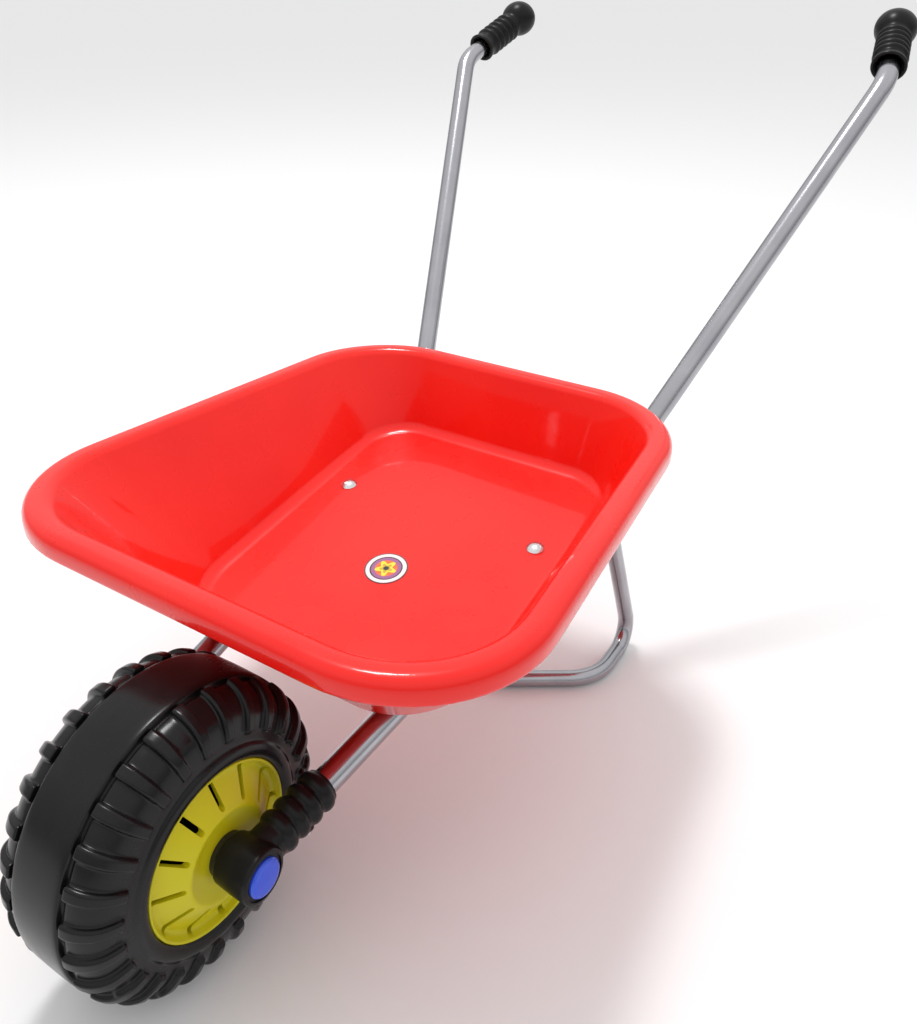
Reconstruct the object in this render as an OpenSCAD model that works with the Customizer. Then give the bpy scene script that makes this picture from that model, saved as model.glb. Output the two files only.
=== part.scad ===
// Child's garden wheelbarrow: pressed tray on two bent tube rails, a loop stand,
// ribbed grips, moulded axle holders and one wide ribbed wheel.
// Millimetres. +X towards the wheel, +Y the barrow's left, +Z up.
// Origin: on the ground under the middle of the overall length and width.

/* [Overall] */
// Length over everything, from the front of the tyre to the back of the grips
overall_l = 796; // [660:1:960]
// Diameter of the wheel over the tyre
wheel_d = 170; // [140:1:205]

/* [Tray] */
// Length of the tray over the rolled rim
rim_l = 364; // [300:1:440]
// Width of the tray over the rim at the wheel end
rim_w_front = 366; // [305:1:440]
// Width of the tray over the rim at the handle end
rim_w_rear = 288; // [264:1:346]
// Outer corner radius of the rim at the wheel end
rim_corner_front = 83; // [50:1:100]
// Outer corner radius of the rim at the handle end
rim_corner_rear = 80; // [50:1:96]
// Width of the rim band seen from above
rim_band = 16; // [13:0.5:20]
// Radius of the rolled outer edge of the rim
rim_roll_r = 8; // [6:0.5:10]
// Height of the top of the rim above the middle of the axle
rim_above_axle = 133; // [110:1:160]
// Width of the flat floor, measured between the corners where the walls start
floor_w = 208; // [174:1:216]
// Gap between the back of the tyre and the front of the floor
tyre_gap = 16; // [12:1:40]
// How far the front wall leans out, floor edge to outer edge of the rim
front_flare = 85; // [60:1:100]
// How far the rear wall leans out, floor edge to outer edge of the rim
rear_flare = 28; // [20:1:50]
// Corner radius of the floor
floor_corner_r = 46; // [30:1:60]
// Size of the round between floor and walls
floor_fillet = 15; // [8:1:24]
// Thickness of the pressed sheet
sheet_t = 1.5; // [1.2:0.1:2.5]

/* [Rails] */
// Outside diameter of the rail tube
tube_d = 16; // [13:0.5:19]
// Wall of the rail and stand tube
tube_wall = 1.5; // [1.2:0.1:2]
// Distance of each rail from the centre plane at the axle
axle_rail_y = 57; // [56:1:70]
// Rise of the lower rails towards the handles, degrees
rail_rise = 9.8; // [6:0.1:12]
// Outward splay of the lower rails, degrees
rail_splay = 4.95; // [2:0.05:7]
// Rise of the handle tubes, degrees
handle_rise = 45.9; // [35:0.1:55]
// Outward splay of the handle tubes, degrees
handle_splay = 22.9; // [10:0.1:28]
// Bend radius where the handles leave the lower rails
lower_bend_r = 60; // [40:1:70]
// Bend radius just in front of the grips
upper_bend_r = 38; // [30:1:42]
// How far the lower bend sits in front of the rear edge of the rim
bend_inset = 9; // [0:1:20]

/* [Grips] */
// Rise of the grips, degrees
grip_rise = 23; // [10:0.5:35]
// Inward turn of the grips, degrees
grip_toe = 9; // [0:0.5:15]
// Distance from the upper bend to the middle of the end ball
grip_l = 88; // [78:1:110]
// Straight tube left showing between the upper bend and each grip
grip_gap = 11; // [2:0.5:16]
// Diameter of the grip body
grip_d = 24.5; // [22.5:0.5:30]
// Diameter of the end ball
ball_d = 34; // [28:0.5:40]

/* [Stand] */
// Outside diameter of the stand tube
stand_d = 12; // [10:0.5:14]
// Distance of the stand bolts behind the axle
stand_bolt_x = 338; // [280:1:345]
// Backward lean of the legs, run from bolt to ground bend
leg_lean = 48; // [20:1:60]
// Half width of the stand at the ground
foot_y = 108; // [100:1:125]
// Length of each foot along the ground, bend to bend
foot_l = 64; // [60:1:90]
// How far the loop runs on forward of the feet to its cross bar
loop_reach = 44; // [30:1:60]
// Half length of the straight cross bar, bend to centre
loop_half = 45; // [40:1:60]

/* [Wheel] */
// Half width of the tyre at its sidewalls
tyre_half_w = 40; // [38:0.5:42]
// Half width of the smooth crown band
crown_half_w = 17.7; // [12:0.1:20]
// Number of ribs round each shoulder
rib_count = 27; // [18:1:32]
// Radius of the hub lip, the bore of the tyre
hub_r = 48; // [40:0.5:54]
// Number of slots round each hub
slot_count = 12; // [6:1:16]
// Diameter of the axle rod
axle_d = 8; // [6:0.5:10]
// Running clearance of the bushes on the axle, per side
axle_clearance = 0.06; // [0.02:0.01:0.1]

/* [Holders] */
// Diameter of the round boss that carries the axle end
boss_d = 30; // [26:0.5:36]
// Distance from the centre plane to the outer face of each boss
boss_out_y = 70; // [68:0.5:80]
// Distance from the centre plane to the inner face of each boss
boss_in_y = 46.6; // [46.2:0.1:48]
// Gap between the hub bushes and each boss
boss_gap = 0.8; // [0.4:0.1:3]
// Least gap between the hub bushes and each holder sleeve
sleeve_gap = 0.4; // [0.2:0.1:2]
// Length of the holder sleeve, from the axle to its rear end
sleeve_l = 58; // [48:1:70]
// Wall of the sleeve round the rail tube
sleeve_wall = 2.7; // [2:0.1:4]
// Diameter of the round cap over the axle end
cap_d = 21; // [18:0.5:23]

/* [Fasteners] */
// Diameter of the bolts through tray, rails and stand
bolt_d = 5; // [4:0.5:6]
// Distance of the tray bolts behind the axle
tray_bolt_x = 266; // [220:1:290]
// Diameter of the round label on the floor
label_d = 30; // [20:1:40]
// Distance of the label behind the axle
label_x = 203; // [180:1:230]

/* [Hidden] */
$fn = 64;
fit = 0.1; // gap between parts of one body where one sits in another
lap = 1; // straight tube run on into each bend
swell = 0.05; // extra radius of the bends over the straights
wheel_r = wheel_d / 2;
wheel_x = overall_l / 2 - wheel_r;
tube_r = tube_d / 2;
stand_r = stand_d / 2;
ball_r = ball_d / 2;
bolt_r = bolt_d / 2;
sleeve_r = tube_r + sleeve_wall;
bush_face = boss_in_y - boss_gap;
hub_face = bush_face - 0.8; // distance of the hub face round the axle from the centre plane

// All points below are measured from the middle of the axle.
floor_front = -(wheel_r + tyre_gap);
rim_front = floor_front + front_flare;
rim_rear = rim_front - rim_l;
floor_rear = rim_rear + rear_flare;
rise = tan(rail_rise);
splay = tan(rail_splay);
floor_lift = (tube_r + sheet_t) / cos(rail_rise);
function rail_at(x) = [x, axle_rail_y - splay * x, -rise * x];
function floor_z(x) = floor_lift - rise * x;
function heading(up, side) = [-cos(up) * cos(side), cos(up) * sin(side), sin(up)];

rail_dir = -rail_at(-1) + rail_at(0);
lower_bend = rail_at(rim_rear + bend_inset);
handle_dir = heading(handle_rise, handle_splay);
grip_dir = heading(grip_rise, -grip_toe);
ball_x = -(overall_l - wheel_r - ball_r);
upper_x = ball_x - grip_dir[0] * grip_l;
upper_bend = lower_bend + handle_dir * ((upper_x - lower_bend[0]) / handle_dir[0]);
grip_start = (upper_bend_r + 1) * tan(bend_angle(handle_dir, grip_dir) / 2) + grip_gap;
ball_at = upper_bend + grip_dir * grip_l;
sleeve_dir = unit(rail_at(-1) - rail_at(0));

stand_top = rail_at(-stand_bolt_x) + [0, tube_r + stand_r + 0.2, -1.5];
ground_z = -wheel_r + stand_r;
foot_back = [stand_top[0] - leg_lean, foot_y, ground_z];
foot_front = foot_back + [foot_l, 1, 0];
loop_bend = [foot_front[0] + loop_reach, loop_half, ground_z];
leg_dir = unit(stand_top - foot_back);
leg_out = stand_r + 0.4; // face of the bolt head
rail_in = stand_r + 0.2 + tube_d + 0.8; // face of the washer inside the rail

// ---- small vector helpers
function unit(v) = v / norm(v);
function bend_angle(a, b) = acos(min(1, max(-1, unit(a) * unit(b))));
function flip(p) = [p[0], -p[1], p[2]];
function flat(list) = [for (l = list) for (e = l) e];

// Turns local axes so that local Z runs along v.
module along(v, roll = 0) {
    az = atan2(v[1], v[0]);
    el = acos(v[2] / norm(v));
    rotate([0, el, az]) rotate([0, 0, roll]) children();
}

// Straight rod of diameter d from point a to point b.
module rod(a, b, d) {
    translate(a) along(b - a) cylinder(h = norm(b - a), d = d);
}

// Rod bent round the inner points of a path, one bend radius for each. The bends are
// a hair thicker than the straights, which run on into them by a short lap.
module bent_rod(path, bends, d) {
    n = len(path);
    u = [for (i = [0:n - 2]) unit(path[i + 1] - path[i])];
    turn = [for (i = [1:n - 2]) bend_angle(u[i - 1], u[i])];
    cut = [for (i = [0:n - 1]) (i == 0 || i == n - 1) ? 0 : bends[i - 1] * tan(turn[i - 1] / 2) - lap];
    for (i = [0:n - 2])
        rod(path[i] + u[i] * cut[i], path[i + 1] - u[i] * cut[i + 1], d);
    for (i = [1:n - 2]) {
        z = unit(cross(u[i - 1], u[i]));
        y = u[i - 1];
        x = cross(y, z);
        c = path[i] - y * (cut[i] + lap) - x * bends[i - 1];
        multmatrix([[x[0], y[0], z[0], c[0]], [x[1], y[1], z[1], c[1]], [x[2], y[2], z[2], c[2]],
                    [0, 0, 0, 1]])
            rotate_extrude(angle = turn[i - 1]) translate([bends[i - 1], 0]) circle(d = d + 2 * swell);
    }
}

// Tube on the same path, bored from end to end.
module bent_tube(path, bends, d, wall) {
    n = len(path);
    first = path[0] - unit(path[1] - path[0]);
    last = path[n - 1] + unit(path[n - 1] - path[n - 2]);
    longer = [for (i = [0:n - 1]) i == 0 ? first : i == n - 1 ? last : path[i]];
    difference() {
        bent_rod(path, bends, d);
        bent_rod(longer, bends, d - 2 * wall);
    }
}

module at_axle() translate([wheel_x, 0, wheel_r]) children();
module side(s) mirror([0, s < 0 ? 1 : 0, 0]) children();
module floor_frame(x, y = 0) translate([x, y, floor_z(x)]) rotate([0, rail_rise, 0]) children();

// ---- tray: rings of points from the floor out over the rim, closed as one sheet
corner_steps = 12;
side_steps = 3;
fillet_steps = 6;
roll_steps = 8;
crest_fillet = 5;
wall_steps = 3;

// Outline points [x, y, outward angle] of a tapered rounded frame, offset by o.
function outline(xf, xr, wf, wr, rf, rr, o) =
    let (d = atan2((wf - wr) / 2, xf - xr), s = sin(d), c = cos(d),
         yf = wf / 2 - rf * (1 + s) / c, yr = wr / 2 - rr * (1 - s) / c,
         arcs = [[xf - rf, yf, rf, 0, 90 + d], [xr + rr, yr, rr, 90 + d, 180],
                 [xr + rr, -yr, rr, 180, 270 - d], [xf - rf, -yf, rf, 270 - d, 360]],
         bows = [for (a = arcs) [for (k = [0:corner_steps])
             let (t = a[3] + (a[4] - a[3]) * k / corner_steps)
             [a[0] + (a[2] + o) * cos(t), a[1] + (a[2] + o) * sin(t), t]]])
    flat([for (q = [0:3]) concat(bows[q], [for (k = [1:side_steps - 1])
        let (e = bows[q][corner_steps], f = bows[(q + 1) % 4][0], t = k / side_steps)
        [e[0] + (f[0] - e[0]) * t, e[1] + (f[1] - e[1]) * t, e[2]]])]);

function rim_line(o) = outline(rim_front, rim_rear, rim_w_front, rim_w_rear,
                               rim_corner_front, rim_corner_rear, o);
floor_line = outline(floor_front, floor_rear, floor_w + 4, floor_w - 4,
                     floor_corner_r + 8, floor_corner_r - 8, 0);
crest_line = rim_line(-rim_band);
outer_line = rim_line(0);
ring_n = len(floor_line);

function out_dir(a) = [cos(a), sin(a), 0];
function low(i) = [floor_line[i][0], floor_line[i][1], floor_z(floor_line[i][0])];
function high(i) = [crest_line[i][0], crest_line[i][1], rim_above_axle];
function wall_dir(i) = unit(high(i) - low(i));
function floor_dir(i) = let (g = out_dir(floor_line[i][2])) unit([g[0], g[1], -rise * g[0]]);
function curve(p, c, q, t) = p * (1 - t) * (1 - t) + c * 2 * t * (1 - t) + q * t * t;
function slope(p, c, q, t) = unit((c - p) * (1 - t) + (q - c) * t);

function tangent(a) = [-sin(a), cos(a), 0];
function floor_tangent(a) = [-sin(a), cos(a), rise * sin(a)];

// Stations [point, direction of travel, direction along the ring] of one section.
function section(i) =
    let (w = wall_dir(i), f = floor_dir(i), g = out_dir(crest_line[i][2]),
         p0 = low(i) - f * floor_fillet, p1 = low(i) + w * floor_fillet,
         q0 = high(i) - w * crest_fillet, q1 = high(i) + g * crest_fillet,
         tf = floor_tangent(floor_line[i][2]), tc = tangent(crest_line[i][2]), r = rim_roll_r,
         hub = [outer_line[i][0], outer_line[i][1], rim_above_axle - r] - g * r)
    concat([for (k = [0:fillet_steps]) let (t = k / fillet_steps)
                [curve(p0, low(i), p1, t), slope(p0, low(i), p1, t), tf]],
           [for (k = [1:wall_steps - 1]) let (t = k / wall_steps)
                [p1 * (1 - t) + q0 * t, w, tf * (1 - t) + tc * t]],
           [for (k = [0:4]) let (t = k / 4)
                [curve(q0, high(i), q1, t), slope(q0, high(i), q1, t), tc]],
           [for (k = [0:roll_steps]) let (a = 90 - 145 * k / roll_steps)
                [hub + g * r * cos(a) + [0, 0, r * sin(a)],
                 g * sin(a) - [0, 0, cos(a)], tc]]);

sections = [for (i = [0:ring_n - 1]) section(i)];
ring_m = len(sections[0]);
inside_points = [for (j = [0:ring_m - 1]) for (i = [0:ring_n - 1]) sections[i][j][0]];
outside_points = [for (j = [0:ring_m - 1]) for (i = [0:ring_n - 1])
    let (s = sections[i][j]) s[0] + unit(cross(s[2], s[1])) * sheet_t];
under = ring_m * ring_n;
function at(j, i) = j * ring_n + i % ring_n;

// Sheet metal body of the tray without holes.
module tray_sheet() {
    inner = flat([for (j = [0:ring_m - 2]) for (i = [0:ring_n - 1])
        [[at(j, i), at(j + 1, i + 1), at(j + 1, i)], [at(j, i), at(j, i + 1), at(j + 1, i + 1)]]]);
    outer = [for (f = inner) [f[0] + under, f[2] + under, f[1] + under]];
    m = ring_m - 1;
    edge = flat([for (i = [0:ring_n - 1])
        [[at(m, i), at(m, i + 1), at(m, i + 1) + under], [at(m, i), at(m, i + 1) + under, at(m, i) + under]]]);
    middle_x = (floor_front + floor_rear) / 2;
    middle = [middle_x, 0, floor_z(middle_x)];
    below = middle - unit([rise, 0, 1]) * sheet_t;
    floor_top = [for (i = [0:ring_n - 1]) [2 * under, at(0, i + 1), at(0, i)]];
    floor_under = [for (i = [0:ring_n - 1]) [2 * under + 1, at(0, i) + under, at(0, i + 1) + under]];
    polyhedron(points = concat(inside_points, outside_points, [middle, below]),
               faces = concat(inner, outer, edge, floor_top, floor_under), convexity = 8);
}

module tray() {
    color([0.86, 0.06, 0.03]) at_axle() difference() {
        tray_sheet();
        for (s = [-1, 1])
            floor_frame(-tray_bolt_x, s * rail_at(-tray_bolt_x)[1])
                translate([0, 0, -6]) cylinder(h = 12, r = bolt_r + fit);
    }
}

// ---- rails
rail_start = 15; // distance from the axle to the front end of the tube
rail_path = [sleeve_dir * rail_start + rail_at(0), lower_bend, upper_bend,
             upper_bend + grip_dir * (grip_l - 20)];
screw_at = 42; // distance of the holder screw from the axle along the sleeve
screw_lean = 15; // angle of the screw outward from straight down

module sleeve_frame(d) {
    translate(rail_at(0) + sleeve_dir * d) along(sleeve_dir) children();
}

// Axis of the holder screw: local Z points out of the sleeve, down and outward.
module screw_frame() {
    translate(rail_at(0) + sleeve_dir * screw_at)
        rotate([0, -rail_rise, 0]) rotate([180 + screw_lean, 0, 0]) children();
}

module rail(s) {
    at_axle() side(s) difference() {
        bent_tube(rail_path, [lower_bend_r, upper_bend_r], tube_d, tube_wall);
        floor_frame(-tray_bolt_x, rail_at(-tray_bolt_x)[1])
            translate([0, 0, -tube_d - 4]) cylinder(h = tube_d + 6, r = bolt_r + fit);
        translate(stand_top - [0, rail_in + 4, 0]) rotate([-90, 0, 0]) cylinder(h = rail_in + 12, r = bolt_r + fit);
        screw_frame() cylinder(h = tube_r + 2, r = 1.5 + fit);
    }
}

module left_rail() color([0.72, 0.73, 0.75]) rail(1);
module right_rail() color([0.72, 0.73, 0.75]) rail(-1);

// ---- stand: one tube, leg to leg round the ground loop
leg_end = 6.5; // tube left above the bolt
stand_left = [stand_top + leg_dir * leg_end, foot_back, foot_front, loop_bend];
stand_path = concat(stand_left, [for (i = [3:-1:0]) flip(stand_left[i])]);

module stand() {
    color([0.70, 0.71, 0.73]) at_axle() difference() {
        bent_tube(stand_path, [18, 38, 30, 30, 38, 18], stand_d, tube_wall);
        for (s = [-1, 1]) side(s)
            translate(stand_top - [0, 20, 0]) rotate([-90, 0, 0]) cylinder(h = 40, r = bolt_r + fit);
    }
}

// ---- grips
module grip_frame(d) translate(upper_bend + grip_dir * d) along(grip_dir) children();

module grip(s) {
    body = grip_l - grip_start;
    ribs = 5;
    rib_step = (body - ball_r - 16) / (ribs - 1);
    at_axle() side(s) difference() {
        union() {
            grip_frame(grip_start) {
                cylinder(h = 10, d1 = grip_d + 4, d2 = grip_d);
                cylinder(h = body, d = grip_d);
                for (k = [0:ribs - 1]) translate([0, 0, 14 + rib_step * k])
                    rotate_extrude() translate([grip_d / 2 - 0.6, 0]) circle(r = 2, $fn = 24);
            }
            grip_frame(grip_l) sphere(d = ball_d);
        }
        grip_frame(grip_start - 1) cylinder(h = body - 20 + 1.2, r = tube_r + 0.05);
        grip_frame(grip_start - 1) cylinder(h = 5, r1 = tube_r + 3.6, r2 = tube_r);
    }
}

module left_grip() color([0.03, 0.03, 0.03]) grip(1);
module right_grip() color([0.03, 0.03, 0.03]) grip(-1);

// ---- axle holders
axle_half = boss_out_y - 5;

module holder(s) {
    at_axle() side(s) difference() {
        union() {
            translate([0, boss_in_y, 0]) rotate([-90, 0, 0])
                cylinder(h = boss_out_y - boss_in_y, d1 = boss_d - 1.5, d2 = boss_d);
            sleeve_frame(0) {
                cylinder(h = sleeve_l, r = sleeve_r);
                for (k = [0:3]) translate([0, 0, 23 + 9.4 * k]) cylinder(h = 5, r = sleeve_r + 1.5);
            }
            screw_frame() cylinder(h = sleeve_r + 3.2, r = 4.2);
        }
        sleeve_frame(rail_start) cylinder(h = sleeve_l, r = tube_r + 0.05);
        screw_frame() cylinder(h = sleeve_r + 6, r = 1.5 + fit);
        translate([0, 0, 0]) rotate([-90, 0, 0]) cylinder(h = axle_half + 0.3, r = axle_d / 2 + 0.03);
        rotate([-90, 0, 0]) cylinder(h = bush_face + sleeve_gap, r = bush_r + 4); // clears the bush
        translate([0, boss_out_y - 4, 0]) rotate([-90, 0, 0]) cylinder(h = 6, d = cap_d + 2 * fit);
        translate([0, boss_out_y - 0.8, 0]) rotate([-90, 0, 0]) cylinder(h = 6, d = cap_d + 4);
    }
}

module left_axle_holder() color([0.04, 0.04, 0.04]) holder(1);
module right_axle_holder() color([0.04, 0.04, 0.04]) holder(-1);

module cap(s) {
    at_axle() side(s) translate([0, boss_out_y - 4, 0]) rotate([-90, 0, 0]) rotate_extrude()
        polygon([[0, 0], [cap_d / 2, 0], [cap_d / 2, 4.2], [cap_d / 2 - 0.8, 5.2], [cap_d / 2 - 2.6, 5.8],
                 [0, 6.2]]);
}

module left_axle_cap() color([0.05, 0.12, 0.75]) cap(1);
module right_axle_cap() color([0.05, 0.12, 0.75]) cap(-1);

module holder_screws() {
    color([0.12, 0.12, 0.13]) at_axle() for (s = [-1, 1]) side(s) screw_frame() {
        translate([0, 0, tube_r - tube_wall]) cylinder(h = sleeve_r + 3.2 - tube_r + tube_wall, r = 1.5);
        translate([0, 0, sleeve_r + 3.2]) difference() {
            cylinder(h = 2, r1 = 3.2, r2 = 2.6);
            for (a = [0, 90]) rotate([0, 0, a]) translate([-1.8, -0.35, 1]) cube([3.6, 0.7, 2]);
        }
    }
}

// ---- fasteners
head_h = 3.4;

module dome_head(r, h) {
    R = (r * r + h * h) / (2 * h);
    intersection() {
        translate([0, 0, h - R]) sphere(r = R);
        cylinder(h = h + 1, r = r);
    }
}

module hex_nut(across, h, bore) {
    difference() {
        cylinder(h = h, d = across / cos(30), $fn = 6);
        translate([0, 0, -1]) cylinder(h = h + 2, r = bore);
    }
}

module washer_ring(r_in, r_out, h) {
    difference() {
        cylinder(h = h, r = r_out);
        translate([0, 0, -1]) cylinder(h = h + 2, r = r_in);
    }
}

module at_tray_bolts() {
    at_axle() for (s = [-1, 1]) floor_frame(-tray_bolt_x, s * rail_at(-tray_bolt_x)[1]) children();
}

tray_grip = tube_d + sheet_t; // floor top to underside of the rail

module tray_bolts() {
    color([0.78, 0.78, 0.80]) at_tray_bolts() {
        translate([0, 0, 0.8]) dome_head(6.2, head_h - 0.8);
        cylinder(h = 0.8, r = 6.2);
        translate([0, 0, -tray_grip - 8]) cylinder(h = tray_grip + 8, r = bolt_r);
    }
}

module tray_washers() {
    color([0.70, 0.71, 0.73]) at_tray_bolts()
        translate([0, 0, -tray_grip - 1]) washer_ring(bolt_r + fit, 6, 1);
}

module tray_nuts() {
    color([0.70, 0.71, 0.73]) at_tray_bolts()
        translate([0, 0, -tray_grip - 5]) hex_nut(8, 4, bolt_r);
}

// Stand bolts lie across the barrow; local Z points outward from the rail side.
module at_stand_bolts() {
    at_axle() for (s = [-1, 1]) side(s) translate(stand_top) rotate([-90, 0, 0]) children();
}

module stand_bolts() {
    color([0.75, 0.75, 0.77]) at_stand_bolts() {
        translate([0, 0, leg_out]) dome_head(5.4, 3);
        translate([0, 0, -rail_in - 6.5]) cylinder(h = leg_out + rail_in + 7, r = bolt_r);
    }
}

module stand_washers() {
    color([0.70, 0.71, 0.73]) at_stand_bolts()
        translate([0, 0, -rail_in - 1]) washer_ring(bolt_r + fit, 5.5, 1);
}

module stand_nuts() {
    color([0.70, 0.71, 0.73]) at_stand_bolts() translate([0, 0, -rail_in - 5]) hex_nut(8, 4, bolt_r);
}

module floor_label() {
    color([0.95, 0.85, 0.10]) at_axle() floor_frame(-label_x) cylinder(h = 0.3, d = label_d);
}

module axle() {
    color([0.62, 0.63, 0.65]) at_axle() rotate([90, 0, 0])
        cylinder(h = 2 * axle_half, d = axle_d, center = true);
}

// ---- wheel, turned about the axle
bush_r = 9;
hub_bore = bush_r;

module turned() rotate([-90, 0, 0]) rotate_extrude() children();

// Outline of half the tyre section as [radius, distance from the centre plane].
// u is the height of the sidewall over the height that the steps are given for, and v
// the same for the width of the shoulder.
u = (wheel_r - hub_r) / 37;
v = (tyre_half_w - crown_half_w) / 22.3;
function tyre_half() = let (r = wheel_r, c = crown_half_w, h = tyre_half_w) [
    [r, 0], [r - 0.2, c - 3], [r - 0.6, c - 1.2], [r - 3.2 * u, c - 0.4], [r - 3.2 * u, c + 0.8 * v],
    [r - 1.6 * u, c + 2 * v], [r - 2.2 * u, c + 6 * v], [r - 4.2 * u, c + 10.5 * v],
    [r - 8 * u, c + 15.6 * v], [r - 13 * u, h - 4.2 * v], [r - 19 * u, h - 2 * v],
    [r - 25 * u, h - 1.6 * v], [hub_r + 9.5 * u, h - 1.2 * v], [hub_r + 8 * u, h + 0.4],
    [hub_r + 5 * u, h + 1.2], [hub_r + 2 * u, h + 0.8], [hub_r + 0.05, h - 1]];

module tyre_section() {
    half = tyre_half();
    n = len(half);
    polygon(concat(half, [for (i = [n - 1:-1:1]) [half[i][0], -half[i][1]]]));
}

module tyre_hollow() {
    r = wheel_r - 7 * u;
    h = tyre_half_w - 6;
    c = crown_half_w - 5.7;
    d = crown_half_w + 4.3 * v;
    polygon([[r, 0], [r, c], [r - 4 * u, d], [r - 12 * u, h - 1], [hub_r + 10 * u, h], [hub_r + 5 * u, h - 3],
             [hub_r + 5 * u, 3 - h], [hub_r + 10 * u, -h], [r - 12 * u, 1 - h], [r - 4 * u, -d], [r, -c]]);
}

// Section of the raised band that the shoulder ribs are cut from.
module rib_section() {
    r = wheel_r;
    c = crown_half_w;
    h = tyre_half_w;
    polygon([[r - 3.6 * u, c + 1.2 * v], [r - 0.4 * u, c + 1.2 * v], [r - 0.2 * u, c + 5 * v],
             [r - 1.6 * u, c + 9.5 * v], [r - 5.5 * u, c + 15.5 * v], [r - 11 * u, h - 2 * v],
             [r - 18 * u, h + 0.6 * v], [r - 24 * u, h - 0.8 * v], [r - 24 * u, h - 5 * v],
             [r - 12 * u, h - 8 * v], [r - 6 * u, c + 8 * v]]);
}

module tyre() {
    $fn = 56;
    color([0.03, 0.03, 0.03]) at_axle() {
        turned() difference() {
            tyre_section();
            tyre_hollow();
        }
        for (s = [-1, 1]) side(s) intersection() {
            turned() rib_section();
            for (k = [0:rib_count - 1]) rotate([0, (k + 0.25 * s) * 360 / rib_count, 0])
                translate([wheel_r - 30 * u, 0, -3.2]) cube([40 * u, tyre_half_w + 20, 6.4]);
        }
    }
}

// Half hub section: lip, valley, cone up to a ridge, funnel to the bore.
module hub_section() {
    h = tyre_half_w;
    polygon([[hub_r, 8], [hub_r, h - 0.5], [hub_r - 1.4, h - 0.5], [hub_r - 3.4, h - 4.5],
             [hub_r - 5.4, h - 5.2], [hub_r - 8, h - 3.6], [27.5, h + 4.6], [25.6, h + 5],
             [24, h + 4.5], [17, hub_face - 2], [hub_bore, hub_face - 2], [hub_bore, hub_face - 5],
             [16, hub_face - 5], [24.6, h + 1.8], [hub_r - 8.4, h - 6.6], [hub_r - 5.2, h - 8.2],
             [hub_r - 2.6, h - 7.4], [hub_r - 2.6, 8]]);
}

module hub(s) {
    at_axle() side(s) difference() {
        union() {
            turned() hub_section();
            turned() translate([hub_bore, 1]) square([3, hub_face - 5]);
            for (k = [0:5]) rotate([0, 60 * k, 0]) translate([hub_bore + 1, 1, -1])
                cube([hub_r - hub_bore - 3, tyre_half_w - 12, 2]);
        }
        for (k = [0:slot_count - 1]) rotate([0, (k - 0.05 * s) * 360 / slot_count, 0]) {
            translate([30, tyre_half_w - 14, -1.6]) cube([hub_r - 32.4, 24, 3.2]);
            translate([30, tyre_half_w - 14, 0]) rotate([-90, 0, 0]) cylinder(h = 24, r = 1.6, $fn = 24);
        }
    }
}

module left_hub() color([0.80, 0.75, 0.04]) hub(1);
module right_hub() color([0.80, 0.75, 0.04]) hub(-1);

module axle_bushes() {
    color([0.06, 0.06, 0.06]) at_axle() for (s = [-1, 1]) side(s) difference() {
        turned() polygon([[axle_d / 2 + axle_clearance, 18], [bush_r - fit, 18],
                          [bush_r - fit, hub_face - 2], [bush_r + 3, hub_face - 2],
                          [bush_r + 3, bush_face], [axle_d / 2 + axle_clearance, bush_face]]);
    }
}

tray();
left_rail();
right_rail();
stand();
left_grip();
right_grip();
left_axle_holder();
right_axle_holder();
left_axle_cap();
right_axle_cap();
holder_screws();
tray_bolts();
tray_washers();
tray_nuts();
stand_bolts();
stand_washers();
stand_nuts();
floor_label();
axle();
tyre();
left_hub();
right_hub();
axle_bushes();
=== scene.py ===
"""Child's garden wheelbarrow: red pressed tray, bent tube rails, loop stand and one ribbed wheel."""

import logging
import math
from dataclasses import dataclass
from enum import Enum
from typing import Callable, Sequence

import bmesh
import bpy
from mathutils import Matrix, Vector


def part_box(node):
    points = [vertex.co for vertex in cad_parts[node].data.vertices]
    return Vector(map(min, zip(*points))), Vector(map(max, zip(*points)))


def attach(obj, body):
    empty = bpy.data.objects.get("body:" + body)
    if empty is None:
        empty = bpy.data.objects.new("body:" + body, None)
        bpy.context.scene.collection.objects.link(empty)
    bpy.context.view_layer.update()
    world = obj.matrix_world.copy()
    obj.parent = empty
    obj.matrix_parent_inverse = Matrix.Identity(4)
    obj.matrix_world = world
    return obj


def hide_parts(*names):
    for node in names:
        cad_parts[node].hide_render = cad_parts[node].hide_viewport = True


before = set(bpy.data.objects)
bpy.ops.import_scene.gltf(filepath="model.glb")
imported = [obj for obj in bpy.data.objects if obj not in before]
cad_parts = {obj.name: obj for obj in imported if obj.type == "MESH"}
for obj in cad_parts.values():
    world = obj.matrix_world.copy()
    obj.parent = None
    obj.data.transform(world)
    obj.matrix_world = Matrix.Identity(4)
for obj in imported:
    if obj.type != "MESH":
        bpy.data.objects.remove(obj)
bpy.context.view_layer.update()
LOG = logging.getLogger("wheelbarrow")
MM = 0.001
Colour = tuple[float, float, float]


# --------------------------------------------------------------------------- shader maths


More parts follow.
